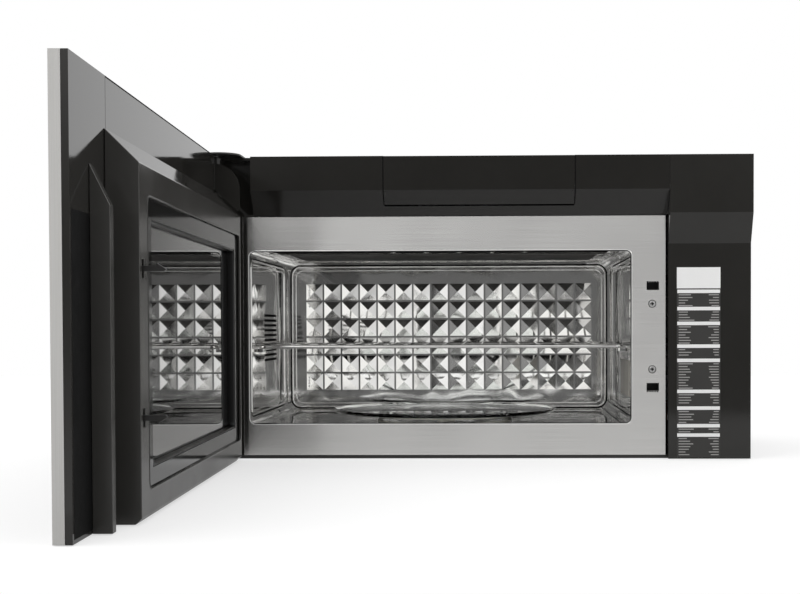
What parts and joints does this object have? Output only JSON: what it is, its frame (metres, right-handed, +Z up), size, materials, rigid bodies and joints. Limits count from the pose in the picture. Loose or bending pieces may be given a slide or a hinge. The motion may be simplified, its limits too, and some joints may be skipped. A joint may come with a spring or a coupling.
{
  "type": "over the range microwave",
  "caption": "Over the range microwave with convection: side-hinged door standing open, polished cavity with rack and glass turntable, filter flap in a black upper band.",
  "frame": {"origin": "middle of the body's base", "axes": "+X to the user's right, +Y from the front to the wall behind, +Z up"},
  "size_m": [0.7695, 1.1487, 0.4284],
  "materials": {
    "cabinet_paint": "satin",
    "zinc_steel": "dull zinc",
    "brushed_stainless": "brushed",
    "polished_stainless": "polished",
    "gloss_black_plastic": "gloss",
    "satin_black_plastic": "satin",
    "charcoal": "granular",
    "circuit_board": "lacquered",
    "black_steel": "satin",
    "bright_steel": "bright",
    "white_plastic": "satin",
    "mica_sheet": "matte",
    "transformer_iron": "varnished",
    "aluminium_sheet": "mill",
    "clear_glass": "clear",
    "dark_glass": "smoked",
    "chrome_wire": "bright",
    "grey_enamel": "satin"
  },
  "bodies": {
    "cabinet": {"cabinet_shell": "cabinet_paint", "rear_panel": "zinc_steel", "base_plate": "cabinet_paint", "front_frame": "brushed_stainless", "oven_cavity": "polished_stainless", "front_bezel": "gloss_black_plastic", "charcoal_filter": "charcoal", "right_panel": "gloss_black_plastic", "control_board": "circuit_board", "upper_hinge_bracket": "black_steel", "lower_hinge_bracket": "zinc_steel", "upper_hinge_pin": "bright_steel", "lower_hinge_pin": "bright_steel", "latch_bracket": "satin_black_plastic", "door_switch_upper": "satin_black_plastic", "door_switch_lower": "satin_black_plastic", "waveguide": "zinc_steel", "waveguide_cover": "mica_sheet", "magnetron": "zinc_steel", "transformer": "transformer_iron", "capacitor": "aluminium_sheet", "cooling_fan_housing": "satin_black_plastic", "cooling_fan_motor": "zinc_steel", "blower_housing": "zinc_steel", "blower_motor": "black_steel", "convection_housing": "zinc_steel", "convection_heater": "black_steel", "convection_motor": "black_steel", "turntable_motor": "zinc_steel", "rack_support_left": "polished_stainless", "rack_support_right": "polished_stainless", "cavity_lamp": "white_plastic", "cooktop_lamp": "aluminium_sheet", "lamp_lens": "clear_glass", "grease_filter_left": "aluminium_sheet", "grease_filter_right": "aluminium_sheet", "cord_grommet": "satin_black_plastic"},
    "door": {"door_shell": "brushed_stainless", "door_glass": "dark_glass", "door_inner_panel": "gloss_black_plastic", "finger_bar": "satin_black_plastic", "door_liner": "satin_black_plastic", "choke_frame": "grey_enamel", "inner_glass": "dark_glass", "latch_spring_upper": "bright_steel", "latch_spring_lower": "bright_steel"},
    "upper_latch": {"latch_hook_upper": "satin_black_plastic"},
    "lower_latch": {"latch_hook_lower": "satin_black_plastic"},
    "flap": {"filter_flap": "gloss_black_plastic"},
    "turntable": {"glass_turntable": "clear_glass", "drive_coupler": "white_plastic"},
    "ring": {"roller_ring": "white_plastic"},
    "roller_a": {"roller_1": "white_plastic"},
    "roller_b": {"roller_2": "white_plastic"},
    "roller_c": {"roller_3": "white_plastic"},
    "rack": {"wire_rack": "chrome_wire"},
    "cooling_fan": {"cooling_fan_blade": "white_plastic"},
    "vent_rotor": {"blower_wheel_left": "zinc_steel", "blower_wheel_right": "zinc_steel"},
    "convection_rotor": {"convection_fan": "aluminium_sheet"}
  },
  "joints": [
    {"name": "door_hinge", "type": "hinge", "parent": "cabinet", "child": "door", "pos_m": [-0.3681, -0.20176, 0], "axis": [0, 0, 1], "range_deg": [-12, 88.05]},
    {"name": "upper_latch_pivot", "type": "hinge", "parent": "door", "child": "upper_latch", "pos_m": [-0.32758, -0.81234, 0.2437], "axis": [0.034, -0.9994, 0], "range_deg": [-6.5, 0], "stiffness_Nm_per_rad": 0.2, "deforming": ["latch_spring_upper"]},
    {"name": "lower_latch_pivot", "type": "hinge", "parent": "door", "child": "lower_latch", "pos_m": [-0.32758, -0.81234, 0.101], "axis": [0.034, -0.9994, 0], "range_deg": [0, 6.5], "stiffness_Nm_per_rad": 0.2, "deforming": ["latch_spring_lower"]},
    {"name": "flap_hinge", "type": "hinge", "parent": "cabinet", "child": "flap", "pos_m": [0, -0.179, 0.3632], "axis": [-1, 0, 0], "range_deg": [-60, 0]},
    {"name": "turntable_spin", "type": "hinge", "parent": "cabinet", "child": "turntable", "pos_m": [-0.058, 0.00965, 0.05], "axis": [0, 0, 1], "continuous": true},
    {"name": "ring_spin", "type": "hinge", "parent": "cabinet", "child": "ring", "pos_m": [-0.058, 0.00965, 0.05], "axis": [0, 0, 1], "continuous": true},
    {"name": "roller_a_spin", "type": "hinge", "parent": "ring", "child": "roller_a", "pos_m": [0.03683, 0.0644, 0.05095], "axis": [0.866, 0.5, 0], "continuous": true},
    {"name": "roller_b_spin", "type": "hinge", "parent": "ring", "child": "roller_b", "pos_m": [-0.15283, 0.0644, 0.05095], "axis": [-0.866, 0.5, 0], "continuous": true},
    {"name": "roller_c_spin", "type": "hinge", "parent": "ring", "child": "roller_c", "pos_m": [-0.058, -0.09985, 0.05095], "axis": [0, -1, 0], "continuous": true},
    {"name": "rack_slide", "type": "slide", "parent": "cabinet", "child": "rack", "axis": [0, 1, 0], "range_m": [-0.25, 0]},
    {"name": "cooling_fan_spin", "type": "hinge", "parent": "cabinet", "child": "cooling_fan", "pos_m": [0.318, 0.153, 0.215], "axis": [0, 1, 0], "continuous": true},
    {"name": "vent_rotor_spin", "type": "hinge", "parent": "cabinet", "child": "vent_rotor", "pos_m": [0, 0.11, 0.361], "axis": [1, 0, 0], "continuous": true},
    {"name": "convection_rotor_spin", "type": "hinge", "parent": "cabinet", "child": "convection_rotor", "pos_m": [-0.345, 0.0285, 0.171], "axis": [1, 0, 0], "continuous": true}
  ],
  "couplings": [
    {"joint": "lower_latch_pivot", "follows": "upper_latch_pivot", "ratio": -1},
    {"joint": "ring_spin", "follows": "turntable_spin", "ratio": 0.5},
    {"joint": "roller_a_spin", "follows": "turntable_spin", "ratio": -14.6},
    {"joint": "roller_b_spin", "follows": "turntable_spin", "ratio": -14.6},
    {"joint": "roller_c_spin", "follows": "turntable_spin", "ratio": -14.6}
  ]
}
